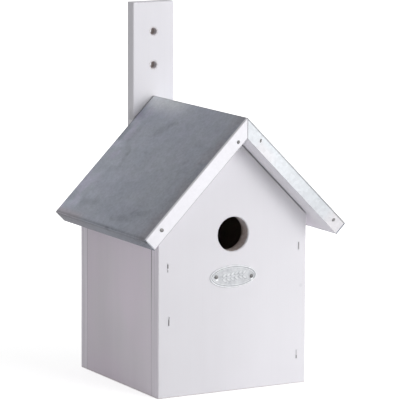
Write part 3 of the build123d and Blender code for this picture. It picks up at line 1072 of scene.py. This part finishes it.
def staple_rings(low, high, facing):
    """A rounded section carried along a U: leg, quarter bend, crown, quarter bend, leg.

    The path lies in the plane of the crown and the legs, as pairs of y and z. A ring is the path's
    point plus half width * squarish(cos t) across and half thickness * squarish(sin t) outwards.
    """
    middle = (low.x + high.x) / 2
    half_width = (high.x - low.x) / 2
    half_thick = wire_thickness / 2
    top = high.z - half_thick
    foot = low.z + half_thick
    outer = low.y + half_thick if facing < 0 else high.y - half_thick
    deep = high.y if facing < 0 else low.y
    turn = np.linspace(0, np.pi / 2, bend_points)
    rising = bend * (1 - np.sin(turn))
    levelling = bend * (1 - np.cos(turn))
    arc_one = np.stack([outer - facing * rising, foot + levelling], 1)
    arc_two = np.stack([outer - facing * levelling, top - rising], 1)
    crown = np.linspace(arc_one[-1], arc_two[0], crown_points)[1:-1]
    path = np.concatenate([[(deep, foot)], arc_one, crown, arc_two, [(deep, top)]])
    tangent = np.gradient(path, axis=0)
    tangent /= np.linalg.norm(tangent, axis=1)[:, None]
    out = np.stack([tangent[:, 1], -tangent[:, 0]], 1)
    angle = np.linspace(0, 2 * np.pi, wire_around, endpoint=False)
    across = half_width * squarish(np.cos(angle))
    thick = half_thick * squarish(np.sin(angle))
    y = path[:, :1] + out[:, :1] * thick
    z = path[:, 1:] + out[:, 1:] * thick
    x = np.broadcast_to(middle + across, y.shape)
    rings = np.stack([x, y, z], -1)
    return np.concatenate([rings[:1], rings, rings[-1:]])


# %% Scraped places
scraped_parts = {
    "front_staple_left_upper": [(-0.05, 0.28, 0.45, 0), (0.42, 0.88, 1.0, 0)],
    "front_staple_left_lower": [(-0.1, 0.72, 1.0, -0.3), (0.72, 1.1, 1.0, 0.9)],
    "front_staple_right_upper": [(0.12, 0.92, 0.75, 0)],
    "front_staple_right_lower": [(0.05, 0.4, 0.9, -0.3), (0.4, 1.1, 0.3, 0.3)],
}
usual_parts = [(0.1, 0.9, 0.7, 0)]
print("staples with their own bare places:", len(scraped_parts))


def write_scraped(piece, parts):
    """How bare each point is: the largest of its parts.

    A part goes from one share of the crown's height to another, fades over a tenth at its ends, has a
    level, and leans to one side of the wire: 1 + 2 * lean * side, kept between 0 and 1, where side goes
    from -1 to 1 across the wire.
    """
    mesh = piece.data
    flat = np.empty(3 * len(mesh.vertices))
    mesh.vertices.foreach_get("co", flat)
    x, y, z = flat.reshape(-1, 3).T
    up = (z - z.min()) / (z.max() - z.min())
    side = (2 * x - x.min() - x.max()) / (x.max() - x.min())
    scraped = np.zeros(len(x))
    for start, end, level, lean in parts:
        beyond = np.maximum(start - up, up - end)
        share = level * np.clip(0.5 - beyond / 0.1, 0, 1) * np.clip(1 + 2 * lean * side, 0, 1)
        scraped = np.maximum(scraped, share)
    mesh.attributes.new("scraped", "FLOAT", "POINT").data.foreach_set("value", scraped)


for name in sorted(name for name in frame["nodes"] if "_staple_" in name):
    low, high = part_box(name)
    facing = 1 if name.startswith("rear") else -1
    staple = closed_skin(
        name + "_wire", staple_rings(low, high, facing), wire, "staple_wire", name
    )
    write_scraped(staple, scraped_parts.get(name, usual_parts))

# %% [markdown]
# The oval plate is pressed from tinned sheet: a rolled edge, a groove, a fine inner bead and a field
# with a plain leaf sprig. A bump texture could draw that, but the rim catches the light only if it is
# really raised, so the plate is one fine grid whose height is worked out at every point. The height
# also goes into each point as a number, because tin is rubbed bright where it stands up and keeps
# grey dirt where it lies low. The same number carries painted light on the plate's outer flank and a
# painted highlight beside each nail.

# %% Tin
tin_dirt = (0.38, 0.394, 0.418)
rubbed_and_lit_tin = (0.945, 0.955, 0.98)
graph = Graph("plate_tin")
dull = graph.noise((300.0, 300.0, 300.0), detail=4.0)
pits = graph.noise((2400.0, 2400.0, 2400.0), detail=2.0)
# This number holds rubbed tin, painted light on the outer flank and painted highlights by the nails.
raised = graph.node("Attribute", {"attribute_name": "raised"}).output("Fac")
polish_and_highlight = raised + 0.8 * (dull - 0.5)
tin = graph.finish(
    {},
    {
        "Base Color": graph.mix(polish_and_highlight, tin_dirt, rubbed_and_lit_tin),
        "Metallic": 0.35 - 0.2 * dull,
        "Roughness": 0.3 + 0.2 * dull,
        "Normal": graph.bump(pits, 0.03 * mm, 0.4),
    },
)


# %% Beads and leaves
leaf_groove = 0.12 * mm
outline_width = 0.16
print("a leaf's groove is", round(leaf_groove / mm, 2), "mm wide each way")


def bead(inward, centre, width, height):
    """A raised cosine ridge: height times (1 + cos) / 2 within a width of its centre line."""
    t = np.clip((inward - centre) / width, -1, 1)
    return height * (1 + np.cos(np.pi * t)) / 2


def leaf(x, z, place, lean, length, width, height):
    """A leaf: an ellipse's dome, height * sqrt(1 - r^2), with a groove along its middle.

    r is 1 on the ellipse, which narrows towards the leaf's tip. The leaf's outline, where dirt stays,
    is exp(-((r - 1) / outline width)^2).
    """
    turned_x = (x - place[0]) * math.cos(lean) + (z - place[1]) * math.sin(lean)
    turned_z = (z - place[1]) * math.cos(lean) - (x - place[0]) * math.sin(lean)
    r = np.hypot(turned_x / length, turned_z / (width * (1 - 0.45 * turned_x / length)))
    dome = height * np.sqrt(np.clip(1 - r**2, 0, 1))
    middle_groove = 0.5 * np.exp(-((turned_z / leaf_groove) ** 2))
    return dome * (1 - middle_groove), np.exp(-(((r - 1) / outline_width) ** 2))


# %% [markdown]
# The plate's grid is rings of points. The outer ones follow the rim: each is the ellipse moved inwards
# along its normal, so that the rim is equally wide all round, which a smaller ellipse would not give.
# The inner ones shrink the last of them to a point.

# %% Plate's grid
rim_width = 3.6 * mm
plate_low, plate_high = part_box("oval_plate")
plate_centre = (plate_low + plate_high) / 2
half_long = (plate_high.x - plate_low.x) / 2
half_short = (plate_high.z - plate_low.z) / 2
plate_back = plate_high.y
angle = np.linspace(0, 2 * np.pi, 220, endpoint=False)
edge_x = half_long * np.cos(angle)
edge_z = half_short * np.sin(angle)
normal = np.stack([np.cos(angle) / half_long, np.sin(angle) / half_short])
normal /= np.linalg.norm(normal, axis=0)
rim_inward = np.concatenate([np.linspace(0, 0.5 * mm, 7), np.linspace(0.6 * mm, rim_width, 26)])
rim_x = edge_x - rim_inward[:, None] * normal[0]
rim_z = edge_z - rim_inward[:, None] * normal[1]
shrink = np.linspace(1, 0, 44)[1:, None]
plate_x = np.concatenate([rim_x, rim_x[-1] * shrink])
plate_z = np.concatenate([rim_z, rim_z[-1] * shrink])
inward = np.repeat(np.append(rim_inward, np.full(len(shrink), rim_width))[:, None], len(angle), 1)
print("plate grid", plate_x.shape, "rings and points")

# %% Plate's relief
field_height = 0.6 * mm
edge_width = 0.8 * mm
rim_height = 0.5 * mm
bead_height = 0.35 * mm
rim = bead(inward, 1.0 * mm, 0.85 * mm, rim_height) + bead(inward, 2.7 * mm, 0.55 * mm, bead_height)
height = field_height * np.clip(inward / edge_width, 0, 1) ** 0.7 + rim
print("plate", round(float(height.max()) / mm, 2), "mm high at its rim")

# %% [markdown]
# The sprig is a wavy stem with six pairs of leaves. A point takes the highest of what lies over it,
# so leaves and stem run into each other as they would in one pressing.

# %% Sprig
stem_height = 0.3 * mm
stem_half_width = 0.35 * mm
stem_half_length = 13 * mm
stem_sway = 0.9 * mm
leaf_height = 0.35 * mm
leaf_length = 2.5 * mm
leaf_width = 1.1 * mm
leaf_spacing = 4.2 * mm
leaf_off_stem = 2.4 * mm
leaf_back = 0.9 * mm
leaf_lean = 0.75


def stem_line(x):
    """The stem's middle: a sine wave of its sway to each side, with x / 6 mm as its angle."""
    return stem_sway * np.sin(x / (6 * mm))


sprig = stem_height * np.exp(-(((plate_z - stem_line(plate_x)) / stem_half_width) ** 2))
sprig *= np.clip((stem_half_length - np.abs(plate_x)) / (1 * mm), 0, 1)
outline = np.zeros_like(sprig)
for step in range(-2, 4):
    for up in (-1, 1):
        joint = step * leaf_spacing
        place = (joint - leaf_back, stem_line(joint) + up * leaf_off_stem)
        dome, its_outline = leaf(
            plate_x, plate_z, place, up * leaf_lean, leaf_length, leaf_width, leaf_height
        )
        sprig = np.maximum(sprig, dome)
        outline = np.maximum(outline, its_outline)
height += sprig
print("sprig", round(float(sprig.max()) / mm, 2), "mm high")

# %% [markdown]
# How bright the tin is at a point is one number. It is high on the rim, the bead and the leaves, low
# in the groove and along the leaves' outlines, raised on the plate's outer flank as painted light, and
# highest beside the two nails, as a painted highlight.

# %% Bright and dirty tin
highlight_radius = 1.2 * mm
highlight_right = 0.8 * mm
highlight_below = 1.0 * mm
groove = np.exp(-(((inward - 1.9 * mm) / (0.3 * mm)) ** 2))
# Painted light on the plate's outer flank.
painted_flank_light = np.exp(-((inward / (0.7 * mm)) ** 2))
rubbed_and_lit_share = (
    0.35
    + 0.62 * rim / rim_height
    + 0.3 * sprig / leaf_height
    - 0.35 * outline
    - 0.4 * groove
    + 0.3 * painted_flank_light
)
# A painted highlight below and to the right of each nail.
for nail in ("plate_nail_left", "plate_nail_right"):
    nail_low, nail_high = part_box(nail)
    highlight_x = (nail_low.x + nail_high.x) / 2 - plate_centre.x + highlight_right
    highlight_z = nail_low.z - plate_centre.z - highlight_below
    from_highlight = np.hypot(plate_x - highlight_x, plate_z - highlight_z)
    rubbed_and_lit_share = np.maximum(rubbed_and_lit_share, 1.8 * np.exp(-((from_highlight / highlight_radius) ** 2)))
print("raised from", round(float(rubbed_and_lit_share.min()), 2), "to", round(float(rubbed_and_lit_share.max()), 2))

# %% Oval plate
front_rings = np.stack([plate_centre.x + plate_x, plate_back - height, plate_centre.z + plate_z], -1)
back_ring = front_rings[:1].copy()
back_ring[..., 1] = plate_back
plate_rings = np.concatenate([back_ring, back_ring, front_rings])
plate = closed_skin("oval_plate_pressed", plate_rings, tin, "plate_metal", "oval_plate")
share_rings = np.concatenate([np.zeros((2, len(angle))), rubbed_and_lit_share])
shares = np.concatenate([share_rings[:1, 0], share_rings[1:-1].ravel(), share_rings[-1:, 0]])
plate.data.attributes.new("raised", "FLOAT", "POINT").data.foreach_set("value", shares)

# %% [markdown]
# Two countersunk screws hold the slat to the back wall. Their heads have a cross recess, which is the
# same turned surface with its depth pushed in where a point lies within one of two crossed slots.

# %% Cross recess
slot_half_length = 2.1 * mm
slot_half_width = 0.55 * mm
recess_depth = 1.2 * mm
print("slots", round(2 * slot_half_length / mm, 2), "by", round(2 * slot_half_width / mm, 2), "mm")


def slot_mask(along, across):
    """1 inside a slot and 0 outside it, with a short slope at its sides."""
    inside_length = np.clip((slot_half_length - np.abs(along)) / (0.25 * mm), 0, 1)
    inside_width = np.clip((slot_half_width - np.abs(across)) / (0.2 * mm), 0, 1)
    return inside_length * inside_width


def recess(x, z):
    """How deep the cross is at a point: the larger of its two slots."""
    return recess_depth * np.maximum(slot_mask(x, z), slot_mask(z, x))


# %% Screws
face_rings = 30
screw_around = 72
head_edge = 0.12 * mm
head_depth = 1.75 * mm
screw_point = 3 * mm
for name in sorted(name for name in frame["nodes"] if name.startswith("batten_screw")):
    low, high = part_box(name)
    head_radius = (high.x - low.x) / 2
    origin = ((low.x + high.x) / 2, high.y, (low.z + high.z) / 2)
    flat = np.stack([np.linspace(0, head_radius - 0.1 * mm, face_rings), np.zeros(face_rings)], 1)
    rest = [
        (head_radius, -head_edge),
        (head_radius / 2, -head_depth),
        (head_radius / 2, low.y - high.y + screw_point),
        (0, low.y - high.y),
    ]
    rings = turned(np.concatenate([flat, rest]), screw_around, origin, 1)
    face = rings[:face_rings]
    face[..., 1] -= recess(face[..., 0] - origin[0], face[..., 2] - origin[2])
    closed_skin(name + "_cross_head", rings, steel, "nail_steel", name)
